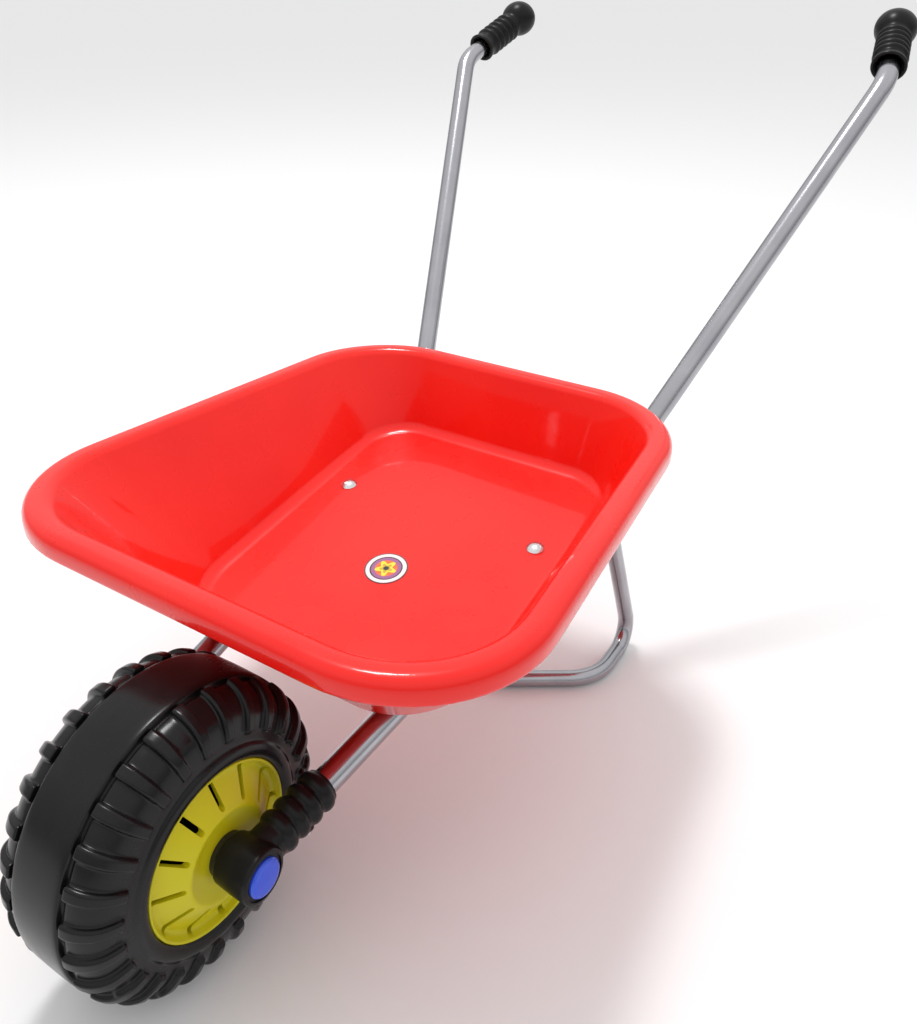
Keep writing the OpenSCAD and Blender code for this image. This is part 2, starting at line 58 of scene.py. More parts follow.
class Wire:
    """One shader socket whose arithmetic adds Math nodes."""

    def __init__(self, graph: "Graph", socket: bpy.types.NodeSocket) -> None:
        """Keep the socket and the graph that owns it."""
        self.graph = graph
        self.socket = socket

    def _math(self, op: str, *values: "Wire | float") -> "Wire":
        """Add a Math node of the given operation."""
        return self.graph.node("ShaderNodeMath", {"operation": op}, dict(enumerate(values)))

    def __add__(self, other: "Wire | float") -> "Wire":
        """Sum of two values."""
        return self._math("ADD", self, other)

    def __radd__(self, other: float) -> "Wire":
        """Sum with the number first."""
        return self._math("ADD", other, self)

    def __sub__(self, other: "Wire | float") -> "Wire":
        """Difference of two values."""
        return self._math("SUBTRACT", self, other)

    def __rsub__(self, other: float) -> "Wire":
        """Difference with the number first."""
        return self._math("SUBTRACT", other, self)

    def __mul__(self, other: "Wire | float") -> "Wire":
        """Product of two values."""
        return self._math("MULTIPLY", self, other)

    def __rmul__(self, other: float) -> "Wire":
        """Product with the number first."""
        return self._math("MULTIPLY", other, self)

    def power(self, other: "Wire | float") -> "Wire":
        """This value raised to another."""
        return self._math("POWER", self, other)

    def above(self, edge: float) -> "Wire":
        """1 where the value is greater than edge, else 0."""
        return self._math("GREATER_THAN", self, edge)

    def below(self, edge: float) -> "Wire":
        """1 where the value is less than edge, else 0."""
        return self._math("LESS_THAN", self, edge)

    def sine(self) -> "Wire":
        """Sine of the value in radians."""
        return self._math("SINE", self)

    def span(self, lo: float, hi: float, to_lo: float = 0.0, to_hi: float = 1.0) -> "Wire":
        """Clamped straight-line change of range.

        Args:
            lo: Value that gives to_lo.
            hi: Value that gives to_hi.
            to_lo: Lower result.
            to_hi: Upper result.

        Returns:
            The value in its new range.
        """
        return self.graph.node(
            "ShaderNodeMapRange",
            {"clamp": True},
            {"Value": self, "From Min": lo, "From Max": hi, "To Min": to_lo, "To Max": to_hi},
            "Result",
        )


class Graph:
    """Node tree of one material, with a single way to add nodes."""

    def __init__(self, name: str, world: bpy.types.World | None = None) -> None:
        """Start an empty material with one Principled shader, or open a world's tree.

        Args:
            name: Name of the new material.
            world: World to work on instead.
        """
        if world is not None:
            self.tree = world.node_tree
            self.shader = self.tree.nodes["Background"]
            self.place = self.node("ShaderNodeTexCoord", {}, {}, "Generated")
            return
        self.material = bpy.data.materials.new(name)
        self.material.use_nodes = True
        self.tree = self.material.node_tree
        self.tree.nodes.clear()
        self.output = self.tree.nodes.new("ShaderNodeOutputMaterial")
        self.shader = self.tree.nodes.new("ShaderNodeBsdfPrincipled")
        self.tree.links.new(self.shader.outputs["BSDF"], self.output.inputs["Surface"])
        self.place = self.node("ShaderNodeTexCoord", {}, {}, "Object")

    def node(
        self,
        kind: str,
        settings: dict[str, object],
        values: dict[str | int, object],
        out: str | int = 0,
    ) -> Wire:
        """Add a node, set it up and feed its sockets.

        Args:
            kind: Type name of the node.
            settings: Node properties, set first.
            values: Socket name or number to a wire or a constant.
            out: Name or number of the output to return.

        Returns:
            The chosen output.
        """
        made = self.tree.nodes.new(kind)
        for key, value in settings.items():
            setattr(made, key, value)
        for key, value in values.items():
            self._feed(made.inputs[key], value)
        return Wire(self, made.outputs[out])

    def _feed(self, socket: bpy.types.NodeSocket, value: object) -> None:
        """Link a wire to a socket, or set a constant on it.

        Args:
            socket: Input to feed.
            value: Wire, number or colour.
        """
        if isinstance(value, Wire):
            self.tree.links.new(value.socket, socket)
        elif isinstance(value, tuple) and len(value) == 3 and socket.type == "RGBA":
            socket.default_value = (*value, 1.0)
        else:
            socket.default_value = value

    def set(self, **values: object) -> None:
        """Feed sockets of the Principled shader; underscores stand for spaces."""
        for key, value in values.items():
            self._feed(self.shader.inputs[key.replace("_", " ")], value)

    def noise(self, scale: float, detail: float = 3.0, place: Wire | None = None, rough: float = 0.5) -> Wire:
        """Noise value between 0 and 1.

        Args:
            scale: Features per metre.
            detail: Number of octaves.
            place: Coordinates, Object ones if None.
            rough: Strength of the finer octaves.

        Returns:
            The noise factor.
        """
        return self.node(
            "ShaderNodeTexNoise",
            {},
            {"Vector": place or self.place, "Scale": scale, "Detail": detail, "Roughness": rough},
            "Fac",
        )

    def mapped(self, **values: object) -> Wire:
        """Object coordinates moved, turned or stretched."""
        return self.node("ShaderNodeMapping", {}, {"Vector": self.place, **values}, "Vector")

    def mix(self, mask: Wire | float, first: Wire | Colour, second: Wire | Colour) -> Wire:
        """Blend of two colours.

        Args:
            mask: 0 gives the first colour, 1 the second.
            first: Colour at 0.
            second: Colour at 1.

        Returns:
            The blended colour.
        """
        return self.node("ShaderNodeMix", {"data_type": "RGBA"}, {0: mask, 6: first, 7: second}, 2)

    def bump(self, height: Wire, distance: float, strength: float = 1.0, base: Wire | None = None) -> Wire:
        """Surface normal bent by a height.

        Args:
            height: Height value.
            distance: Depth in metres of a height of 1.
            strength: Share of the effect.
            base: Normal to start from.

        Returns:
            The new normal.
        """
        values: dict[str | int, object] = {"Height": height, "Distance": distance, "Strength": strength}
        if base is not None:
            values["Normal"] = base
        return self.node("ShaderNodeBump", {}, values, "Normal")


# --------------------------------------------------------------------------- finishes


@dataclass(frozen=True)
class Enamel:
    """Glossy stoved paint on pressed sheet."""

    colour: Colour = (0.93, 0.016, 0.007)
    deep: Colour = (0.84, 0.008, 0.004)
    name: str = "red_enamel"

    def material(self) -> bpy.types.Material:
        """Build the paint.

        Returns:
            Clear-coated red with a little orange peel, dust and hairline scratches.
        """
        g = Graph(self.name)
        cloud = g.noise(9.0, 2.0).span(0.35, 0.7)
        shade = g.mix(cloud, self.deep, self.colour)
        fleck = g.noise(900.0, 2.0).span(0.62, 0.78, 0.0, 0.25)
        hair = self._scratches(g)
        dust = (g.noise(26.0, 6.0, rough=0.7).span(0.55, 0.85) * 0.10 + fleck * 0.08).span(0.0, 1.0)
        tone = g.mix(dust * 0.5, shade, (0.90, 0.10, 0.07))
        g.set(Base_Color=tone, Roughness=g.noise(40.0, 4.0).span(0.3, 0.7, 0.24, 0.34) + hair * 0.12)
        g.set(Coat_Weight=(0.8 - dust * 0.8).span(0.0, 1.0), Coat_Roughness=0.04, Coat_IOR=1.36, IOR=1.3)
        peel = g.noise(240.0, 1.5) * 0.6 + g.noise(70.0, 1.0) * 0.9
        first = g.bump(peel, 0.00012, 0.35)
        g.set(Normal=g.bump(hair, 0.00002, 0.6, first))
        return g.material

    @staticmethod
    def _scratches(g: Graph) -> Wire:
        """Sparse hairlines in two directions.

        Args:
            g: Graph to add the nodes to.

        Returns:
            1 on a hairline, 0 elsewhere.
        """
        out: Wire | float = 0.0
        for turn in (0.4, 2.0):
            lines = g.mapped(Rotation=(0.0, 0.0, turn), Scale=(6.0, 420.0, 60.0))
            gate = g.noise(14.0, 2.0).span(0.52, 0.64)
            out = g.noise(1.0, 2.0, lines).span(0.70, 0.74) * gate + out
        return out


@dataclass(frozen=True)
class PlatedTube:
    """Bright plated steel tube, drawn along its length."""

    colour: Colour = (0.44, 0.44, 0.465)
    name: str = "plated_tube"

    def material(self) -> bpy.types.Material:
        """Build the plated steel.

        Returns:
            Metal with cloudy plating, fine draw marks and small spots of tarnish.
        """
        g = Graph(self.name)
        cloud = g.noise(30.0, 4.0).span(0.3, 0.7)
        spots = g.noise(420.0, 3.0, rough=0.6).span(0.70, 0.80)
        tone = g.mix(cloud, self.colour, (0.37, 0.37, 0.40))
        tone = g.mix(spots * 0.35, tone, (0.30, 0.29, 0.28))
        marks = g.noise(1.0, 3.0, g.mapped(Scale=(60.0, 900.0, 900.0)))
        g.set(Base_Color=tone, Metallic=1.0)
        g.set(Roughness=cloud.span(0.0, 1.0, 0.16, 0.22) + spots * 0.10 + marks.span(0.4, 0.6, 0.0, 0.04))
        g.set(Normal=g.bump(marks, 0.000006, 0.4))
        return g.material


@dataclass(frozen=True)
class BrightSteel:
    """Plated fastener."""

    colour: Colour = (0.72, 0.72, 0.73)
    rough: float = 0.16
    name: str = "bright_steel"

    def material(self) -> bpy.types.Material:
        """Build the fastener metal.

        Returns:
            Bright metal with tool marks and darker smears.
        """
        g = Graph(self.name)
        grain = g.noise(700.0, 4.0)
        smear = g.noise(120.0, 3.0).span(0.35, 0.75)
        g.set(Base_Color=g.mix(smear * 0.5, self.colour, tuple(c * 0.72 for c in self.colour)), Metallic=1.0)
        g.set(Roughness=grain.span(0.3, 0.7, self.rough, self.rough + 0.14))
        g.set(Normal=g.bump(grain, 0.00003, 0.4))
        return g.material


@dataclass(frozen=True)
class Moulded:
    """Injection or blow moulded plastic with a fine skin."""

    name: str
    colour: Colour
    worn: Colour
    rough: tuple[float, float] = (0.34, 0.46)
    grain: float = 1400.0
    depth: float = 0.00003
    flow: float = 0.3
    ior: float = 1.48

    def material(self) -> bpy.types.Material:
        """Build the plastic.

        Returns:
            Plastic with grain, flow marks, dust and paler rubbed patches.
        """
        g = Graph(self.name)
        grain = g.noise(self.grain, 2.0)
        flow = g.noise(18.0, 3.0, g.mapped(Scale=(1.0, 2.4, 1.0)), 0.6)
        rub = g.noise(55.0, 5.0, rough=0.65).span(0.56, 0.80)
        dust = g.noise(2600.0, 1.0).span(0.70, 0.80)
        tone = g.mix(flow.span(0.3, 0.7) * self.flow + rub * 0.35, self.colour, self.worn)
        tone = g.mix(dust * 0.25, tone, tuple(min(1.0, c + 0.12) for c in self.worn))
        lo, hi = self.rough
        g.set(Base_Color=tone, Roughness=flow.span(0.3, 0.7, lo, hi) + rub * 0.06 + dust * 0.05)
        first = g.bump(grain, self.depth, 0.6)
        g.set(Normal=g.bump(flow, 0.0004, 0.25, first), IOR=self.ior)
        return g.material


@dataclass(frozen=True)
class LabelPrint:
    """Round printed label with a made-up flower."""

    middle: tuple[float, float, float]
    lean: float
    radius: float
    name: str = "label_print"

    def material(self) -> bpy.types.Material:
        """Build the print.

        Returns:
            White border, dark ring, orange field and a yellow five-petalled flower.
        """
        g = Graph(self.name)
        flat = g.node(
            "ShaderNodeMapping",
            {"vector_type": "TEXTURE"},
            {"Vector": g.place, "Location": self.middle, "Rotation": (0.0, self.lean, 0.0),
             "Scale": (self.radius, self.radius, self.radius)},
            "Vector",
        )
        xyz = g.node("ShaderNodeSeparateXYZ", {}, {0: flat}, 0)
        x, y = xyz, Wire(g, xyz.socket.node.outputs[1])
        away = (x * x + y * y).power(0.5)
        turn = g.node("ShaderNodeMath", {"operation": "ARCTAN2"}, {0: y, 1: x})
        petal = (turn * 5.0).sine() * 0.12 + 0.40
        tone = g.mix(g.noise(500.0).span(0.3, 0.7), (0.90, 0.20, 0.03), (0.85, 0.12, 0.02))
        tone = g.mix(away.above(0.52), tone, (0.32, 0.12, 0.30))
        tone = g.mix((petal - away).above(0.0), tone, (0.92, 0.78, 0.03))
        tone = g.mix((petal * 0.62 - away).above(0.0), tone, (0.55, 0.42, 0.02))
        tone = g.mix(away.below(0.13), tone, (0.02, 0.02, 0.02))
        tone = g.mix(away.above(0.70), tone, (0.04, 0.02, 0.03))
        tone = g.mix(away.above(0.76), tone, (0.88, 0.86, 0.84))
        tone = g.mix(away.above(0.94), tone, (0.10, 0.04, 0.05))
        g.set(Base_Color=tone, Roughness=g.noise(300.0, 3.0).span(0.3, 0.7, 0.16, 0.30))
        g.set(Coat_Weight=0.6, Coat_Roughness=0.08, Normal=g.bump(g.noise(260.0, 2.0), 0.00004, 0.4))
        return g.material


@dataclass(frozen=True)
class StudioPaper:
    """Plain pale backdrop paper."""

    tone: float = 0.90
    name: str = "studio_paper"

    def material(self) -> bpy.types.Material:
        """Build the paper.

        Returns:
            Matt near-white with a trace of fibre.
        """
        g = Graph(self.name)
        fibre = g.noise(90.0, 4.0)
        t = self.tone
        g.set(Base_Color=g.mix(fibre, (t, t, t), (t * 0.985, t * 0.985, t * 0.99)), Roughness=0.75)
        g.set(Normal=g.bump(fibre, 0.0001, 0.2))
        return g.material


# --------------------------------------------------------------------------- modelling bench


class Kind(Enum):
    """What is selected in edit mode."""

    POINT = "VERT"
    EDGE = "EDGE"
    FACE = "FACE"


class Bench:
    """Operators used on every piece."""

    @staticmethod
    def clear() -> None:
        """Leave edit mode and deselect everything."""
        if bpy.context.object and bpy.context.object.mode != "OBJECT":
            bpy.ops.object.mode_set(mode="OBJECT")
        bpy.ops.object.select_all(action="DESELECT")

    @staticmethod
    def only(piece: bpy.types.Object) -> None:
        """Select one object alone and make it active.

        Args:
            piece: Object to select.
        """
        Bench.clear()
        piece.select_set(True)
        bpy.context.view_layer.objects.active = piece

    @staticmethod
    def freeze(piece: bpy.types.Object) -> None:
        """Put the object's place, turn and size into its mesh."""
        Bench.only(piece)
        bpy.ops.object.transform_apply(location=True, rotation=True, scale=True)

    @staticmethod
    def edit(piece: bpy.types.Object) -> None:
        """Open one object alone in edit mode with nothing selected.

        Args:
            piece: Object to open.
        """
        Bench.only(piece)
        bpy.ops.object.mode_set(mode="EDIT")
        bpy.ops.mesh.select_all(action="DESELECT")

    @staticmethod
    def pick(piece: bpy.types.Object, kind: Kind, test: Callable[[object], bool]) -> int:
        """Select the points, edges or faces that pass a test, and no others.

        Args:
            piece: Object open in edit mode.
            kind: What to select.
            test: Says whether an element is wanted.

        Returns:
            How many were selected.
        """
        bpy.ops.mesh.select_mode(type=kind.value)
        bpy.ops.mesh.select_all(action="DESELECT")
        work = bmesh.from_edit_mesh(piece.data)
        work.normal_update()
        pool = {Kind.POINT: work.verts, Kind.EDGE: work.edges, Kind.FACE: work.faces}[kind]
        wanted = [item for item in pool if test(item)]
        for item in wanted:
            item.select_set(True)
        work.select_flush_mode()
        bmesh.update_edit_mesh(piece.data)
        return len(wanted)

    @staticmethod
    def close(piece: bpy.types.Object, angle: float = 40.0) -> None:
        """Merge doubles, turn faces outward and shade smooth up to an angle.

        Args:
            piece: Object to clean.
            angle: Degrees past which an edge stays sharp.
        """
        Bench.edit(piece)
        bpy.ops.mesh.select_all(action="SELECT")
        bpy.ops.mesh.remove_doubles(threshold=0.000002)
        bpy.ops.mesh.normals_make_consistent(inside=False)
        bpy.ops.object.mode_set(mode="OBJECT")
        bpy.ops.object.shade_smooth_by_angle(angle=math.radians(angle))

    @staticmethod
    def press(piece: bpy.types.Object, kind: str, **settings: object) -> None:
        """Add a modifier, set it up and apply it.

        Args:
            piece: Object to change.
            kind: Type name of the modifier.
            settings: Modifier properties.
        """
        Bench.only(piece)
        made = piece.modifiers.new(kind.lower(), kind)
        for key, value in settings.items():
            setattr(made, key, value)
        bpy.ops.object.modifier_apply(modifier=made.name)

    @staticmethod
    def lathe(name: str, outline: Sequence[tuple[float, float]], steps: int = 64) -> bpy.types.Object:
        """Turn an outline round local Z.

        Args:
            name: Name of the new object.
            outline: Radius and height of each point, in mm.
            steps: Steps of the full turn.

        Returns:
            The turned object, at the origin.
        """
        Bench.clear()
        bpy.ops.mesh.primitive_plane_add(size=0.001)
        piece = bpy.context.object
        piece.name = name
        bpy.ops.object.mode_set(mode="EDIT")
        bpy.ops.mesh.select_mode(type="VERT")
        bpy.ops.mesh.select_all(action="SELECT")
        bpy.ops.mesh.merge(type="CENTER")
        radius, height = outline[0]
        bpy.ops.transform.translate(value=(radius * MM, 0.0, height * MM))
        for (r0, h0), (r1, h1) in zip(outline, outline[1:]):
            bpy.ops.mesh.extrude_vertices_move(
                TRANSFORM_OT_translate={"value": ((r1 - r0) * MM, 0.0, (h1 - h0) * MM)}
            )
        bpy.ops.mesh.select_all(action="SELECT")
        bpy.ops.mesh.spin(steps=steps, angle=math.tau, center=(0.0, 0.0, 0.0), axis=(0.0, 0.0, 1.0))
        Bench.close(piece)
        return piece

    @staticmethod
    def set_down(piece: bpy.types.Object, place: Vector, along: Vector) -> None:
        """Turn local Z along a direction, move to a place and freeze."""
        piece.matrix_world = Matrix.Translation(place) @ along.to_track_quat("Z", "Y").to_matrix().to_4x4()
        Bench.freeze(piece)

    @staticmethod
    def join(parts: Sequence[bpy.types.Object], name: str) -> bpy.types.Object:
        """Join objects into the first one and name it.

        Args:
            parts: Objects to join.
            name: Name of the joined object.

        Returns:
            The joined object.
        """
        Bench.only(parts[0])
        for part in parts:
            part.select_set(True)
        bpy.ops.object.join()
        parts[0].name = name
        return parts[0]

    @staticmethod
    def other_side(piece: bpy.types.Object, name: str) -> bpy.types.Object:
        """Copy a piece, with its own mesh, to the other side of the barrow.

        Args:
            piece: Piece on the left side.
            name: Name of the copy.

        Returns:
            The mirrored copy with its faces turned outward.
        """
        Bench.only(piece)
        bpy.ops.object.duplicate(linked=False)
        twin = bpy.context.object
        twin.name = name
        bpy.ops.object.mode_set(mode="EDIT")
        bpy.ops.mesh.select_all(action="SELECT")
        bpy.ops.transform.mirror(constraint_axis=(False, True, False), center_override=(0.0, 0.0, 0.0))
        bpy.ops.object.mode_set(mode="OBJECT")
        Bench.close(twin)
        return twin

    @staticmethod
    def fit(piece: bpy.types.Object, body: str, node: str, slot: str, finish: bpy.types.Material) -> None:
        """Dress a finished piece and hand it to its body in place of its CAD node.

        Args:
            piece: Finished piece.
            body: Body it rides on.
            node: CAD node it stands for.
            slot: Not used.
            finish: Its material.
        """
        piece.data.materials.clear()
        piece.data.materials.append(finish)
        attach(piece, body)
        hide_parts(node)
        LOG.info("%s: %d faces on %s", piece.name, len(piece.data.polygons), body)


# --------------------------------------------------------------------------- the barrow's lay-out


@dataclass(frozen=True)
class Layout:
    """Main lines of the barrow, in mm from the middle of the axle."""

    axle_x: float = 313.0
    axle_z: float = 85.0
    rail_y: float = 57.0
    rail_rise: float = 9.8
    rail_splay: float = 4.95
    handle_rise: float = 45.9
    handle_splay: float = 22.9
    grip_rise: float = 23.0
    grip_toe: float = 9.0
    grip_l: float = 88.0
    ball_x: float = -694.0
    bend_x: float = -371.0

    def place(self, x: float, y: float, z: float) -> Vector:
        """Point in metres in the barrow's frame from mm off the axle."""
        return Vector((self.axle_x + x, y, self.axle_z + z)) * MM

    def rail(self, x: float) -> Vector:
        """Point of the left rail's middle line, in mm off the axle."""
        splay, rise = math.tan(math.radians(self.rail_splay)), math.tan(math.radians(self.rail_rise))
        return Vector((x, self.rail_y - splay * x, -rise * x))

    @staticmethod
    def heading(up: float, side: float) -> Vector:
        """Rearward direction that climbs by up and leans out by side, in degrees."""
        u, s = math.radians(up), math.radians(side)
        return Vector((-math.cos(u) * math.cos(s), math.cos(u) * math.sin(s), math.sin(u)))

    def grip_dir(self) -> Vector:
        """Direction of the left grip towards its ball."""
        return self.heading(self.grip_rise, -self.grip_toe)

    def upper_bend(self) -> Vector:
        """Corner of the left rail below the grip.

        Returns:
            The point in mm off the axle.
        """
        handle, low = self.heading(self.handle_rise, self.handle_splay), self.rail(self.bend_x)
        reach = self.ball_x - self.grip_dir().x * self.grip_l - low.x
        return low + handle * (reach / handle.x)


LAY = Layout()


# --------------------------------------------------------------------------- tray


class Line(Enum):
    """Lines round the tray, from the floor out to the free edge."""

    FLOOR = 0
    CREST = 1
    EDGE = 2
    SKIRT = 3
    HEM = 4


@dataclass
class Tray:
    """Pressed sheet tray with a rolled rim."""

    floor_front: float = -101.0
    floor_rear: float = -351.0
    floor_w: float = 208.0
    floor_taper: float = 4.0
    floor_corner_front: float = 54.0
    floor_corner_rear: float = 38.0
    rim_front: float = -16.0
    rim_rear: float = -380.0
    rim_w_front: float = 366.0
    rim_w_rear: float = 288.0
    corner_front: float = 83.0
    corner_rear: float = 80.0
    band: float = 16.0
    rim_z: float = 133.0
    roll: float = 15.4
    hem: float = 4.0
    floor_lift: float = 9.64
    fillet: float = 6.5
    crest_round: float = 5.0
    edge_round: float = 7.6
    skirt_round: float = 3.0
    sheet: float = 1.5
    lift: float = 30.0

    def build(self, finish: bpy.types.Material) -> None:
        """Model the tray and hand it over.

        Args:
            finish: Its material.
        """
        wide, narrow = self.floor_w + self.floor_taper, self.floor_w - self.floor_taper
        rings = [
            self._ring(
                self.floor_front, self.floor_rear, wide, narrow, self.floor_corner_front,
                self.floor_corner_rear, None, False,
            ),
            self._rim_ring(-self.band, self.rim_z),
            self._rim_ring(0.0, self.rim_z + self.lift),
            self._rim_ring(0.0, self.rim_z - self.roll),
            self._rim_ring(-self.hem, self.rim_z - self.roll - self.lift),
        ]
        marks = {line: {self._key(v.co) for v in ring.data.vertices} for line, ring in zip(Line, rings)}
        tray = Bench.join(rings, "tray_pressing")
        Bench.edit(tray)
        order = list(marks.values())
        for low, high in zip(order, order[1:]):
            Bench.pick(
                tray,
                Kind.EDGE,
                lambda e, a=low, b=high: all(self._key(v.co) in a for v in e.verts)
                or all(self._key(v.co) in b for v in e.verts),
            )
            bpy.ops.mesh.bridge_edge_loops()
        for line, drop in ((Line.EDGE, -self.lift), (Line.HEM, self.lift)):
            Bench.pick(tray, Kind.POINT, lambda v, s=marks[line]: self._key(v.co) in s)
            bpy.ops.transform.translate(value=(0.0, 0.0, drop * MM))
            marks[line] = {self._key(v.co) for v in bmesh.from_edit_mesh(tray.data).verts if v.select}
        for line, width, steps in (
            (Line.SKIRT, self.skirt_round, 4),
            (Line.EDGE, self.edge_round, 8),
            (Line.CREST, self.crest_round, 6),
            (Line.FLOOR, self.fillet, 10),
        ):
            Bench.pick(tray, Kind.EDGE, lambda e, s=marks[line]: all(self._key(v.co) in s for v in e.verts))
            bpy.ops.mesh.bevel(offset=width * MM, segments=steps, affect="EDGES", profile=0.5)
        bpy.ops.mesh.select_all(action="SELECT")
        bpy.ops.mesh.remove_doubles(threshold=0.00001)
        bpy.ops.mesh.normals_make_consistent(inside=False)
        bpy.ops.object.mode_set(mode="OBJECT")
        floor = max(tray.data.polygons, key=lambda p: p.area)
        if floor.normal.z < 0:
            Bench.edit(tray)
            bpy.ops.mesh.select_all(action="SELECT")
            bpy.ops.mesh.flip_normals()
            bpy.ops.object.mode_set(mode="OBJECT")
        Bench.press(tray, "SOLIDIFY", thickness=self.sheet * MM, offset=-1.0)
        Bench.only(tray)
        bpy.ops.object.shade_smooth_by_angle(angle=math.radians(35.0))
        Bench.fit(tray, "frame", "tray", "tray_paint", finish)

    @staticmethod
    def _key(co: Vector) -> tuple[int, int, int]:
        """Place of a point to a hundredth of a millimetre."""
        return (round(co.x * 1e5), round(co.y * 1e5), round(co.z * 1e5))

    def _rim_ring(self, out: float, z: float) -> bpy.types.Object:
        """Rounded ring along the rim.

        Args:
            out: How far it is moved outward, mm.
            z: Height above the axle.

        Returns:
            The open ring.
        """
        turn = math.atan2((self.rim_w_front - self.rim_w_rear) / 2, self.rim_front - self.rim_rear)
        grow, lean = 2 * out / math.cos(turn), 2 * out * math.tan(turn)
        return self._ring(
            self.rim_front + out, self.rim_rear - out, self.rim_w_front + grow + lean,
            self.rim_w_rear + grow - lean, self.corner_front + out, self.corner_rear + out, z, True,
        )

    def _ring(
        self, front: float, rear: float, w_front: float, w_rear: float, r_front: float, r_rear: float,
        z: float | None, hollow: bool,
    ) -> bpy.types.Object:
        """Four-cornered tapered ring with rounded corners.

        Args:
            front: Front edge from the axle, mm.
            rear: Rear edge from the axle, mm.
            w_front: Width at the front edge.
            w_rear: Width at the rear edge.
            r_front: Front corner radius.
            r_rear: Rear corner radius.
            z: Height above the axle, or None for the sloping floor.
            hollow: Whether the face inside is taken out.

        Returns:
            The ring as an object.
        """
        Bench.clear()
        bpy.ops.mesh.primitive_plane_add(size=1.0)
        ring = bpy.context.object
        Bench.edit(ring)
        slope = math.tan(math.radians(LAY.rail_rise))
        lean = math.atan2((w_front - w_rear) / 2, front - rear)
        for ahead in (True, False):
            x = front if ahead else rear
            for left in (True, False):
                half = (w_front if ahead else w_rear) / 2 * (1 if left else -1)
                lift = z if z is not None else self.floor_lift - slope * x
                goal = LAY.place(x, half, lift)
                Bench.pick(ring, Kind.POINT, lambda v, a=ahead, b=left: abs(abs(v.co.x) - 0.5) < 1e-6
                           and abs(abs(v.co.y) - 0.5) < 1e-6 and v.co.z == 0.0
                           and (v.co.x > 0) == a and (v.co.y > 0) == b)
                start = Vector((0.5 if ahead else -0.5, 0.5 if left else -0.5, 0.0))
                bpy.ops.transform.translate(value=goal - start)
        square = math.pi / 2
        for ahead, radius, inner in ((True, r_front, square - lean), (False, r_rear, square + lean)):
            edge = LAY.place(front if ahead else rear, 0.0, 0.0).x
            Bench.pick(ring, Kind.POINT, lambda v, e=edge: abs(v.co.x - e) < 1e-6)
            bpy.ops.mesh.bevel(
                offset=radius / math.tan(inner / 2) * MM, segments=16, affect="VERTICES", profile=0.5,
                clamp_overlap=False,
            )
        if hollow:
            bpy.ops.mesh.select_mode(type="FACE")
            bpy.ops.mesh.select_all(action="SELECT")
            bpy.ops.mesh.delete(type="ONLY_FACE")
        bpy.ops.object.mode_set(mode="OBJECT")
        return ring


# --------------------------------------------------------------------------- tyre


@dataclass
class Tyre:
    """Blow-moulded tyre with ribs over both shoulders."""

    radius: float = 85.0
    half_w: float = 40.0
    crown: float = 17.7
    hub: float = 48.0
    ribs: int = 27
    slices: int = 10
    rib_slices: int = 4
    rib_h: float = 3.0
    rib_edge: float = 1.1
    rib_reach: float = 22.0

    def build(self, finish: bpy.types.Material) -> None:
        """Model the tyre and hand it over.

        Args:
            finish: Its material.
        """
        half = self._half()
        loop = half + [(r, -y) for r, y in reversed(half[1:])]
        loop.append(loop[0])
        tyre = Bench.lathe("ribbed_tyre", loop, self.ribs * self.slices)
        Bench.edit(tyre)
        for side in (1, -1):
            Bench.pick(tyre, Kind.FACE, lambda f, s=side: self._on_rib(f.calc_center_median(), s))
            bpy.ops.mesh.extrude_region_shrink_fatten(
                TRANSFORM_OT_shrink_fatten={"value": self.rib_h * 0.6 * MM}
            )
            bpy.ops.mesh.inset(thickness=self.rib_edge * MM, depth=self.rib_h * 0.4 * MM, use_boundary=True)
        bpy.ops.object.mode_set(mode="OBJECT")
        Bench.press(tyre, "SUBSURF", levels=1, render_levels=1)
        Bench.close(tyre, 60.0)
        Bench.set_down(tyre, LAY.place(0.0, 0.0, 0.0), Vector((0.0, 1.0, 0.0)))
        Bench.fit(tyre, "wheel", "tyre", "tyre_plastic", finish)

    def _half(self) -> list[tuple[float, float]]:
        """Outline of half the section.

        Returns:
            Radius and distance from the middle plane, from the crown to the hub.
        """
        r, c, h, b = self.radius, self.crown, self.half_w, self.hub
        return [
            (r - 0.1, 0.0), (r - 0.15, c - 9.0), (r - 0.3, c - 3.0), (r - 0.7, c - 1.4), (r - 1.4, c - 0.8),
            (r - 3.4, c - 0.5), (r - 4.2, c + 0.2), (r - 4.1, c + 0.9), (r - 3.4, c + 1.5),
            (r - 3.2, c + 2.4),
            (r - 3.4, c + 4.2), (r - 4.2, c + 7.4), (r - 6.0, c + 10.8), (r - 8.3, c + 13.8),
            (r - 11.2, c + 16.3), (r - 14.4, h - 4.4), (r - 17.6, h - 3.3), (r - 20.6, h - 2.5),
            (r - 22.6, h - 2.1), (r - 24.6, h - 1.8), (b + 10.6, h - 1.6), (b + 9.4, h - 1.3),
            (b + 8.6, h - 0.4), (b + 7.2, h + 0.7), (b + 5.0, h + 1.15), (b + 2.8, h + 0.9),
            (b + 1.2, h + 0.2), (b + 0.5, h - 0.9), (b + 0.1, h - 1.2), (b + 0.1, h - 2.2), (b + 0.1, 8.0),
        ]

    def _on_rib(self, centre: Vector, side: int) -> bool:
        """Whether a face lies under a rib of one side.

        Args:
            centre: Middle of the face.
            side: 1 or -1.

        Returns:
            True under a rib.
        """
        out = centre.z * side / MM
        away = math.hypot(centre.x, centre.y) / MM
        if not (out > self.crown + 1.4 and away > self.radius - self.rib_reach):
            return False
        turn = math.degrees(math.atan2(-centre.y, centre.x)) / (360.0 / self.ribs)
        part = (turn - 0.25 * side + 0.5) % 1.0 - 0.5
        return abs(part) < self.rib_slices / self.slices / 2


# --------------------------------------------------------------------------- grips


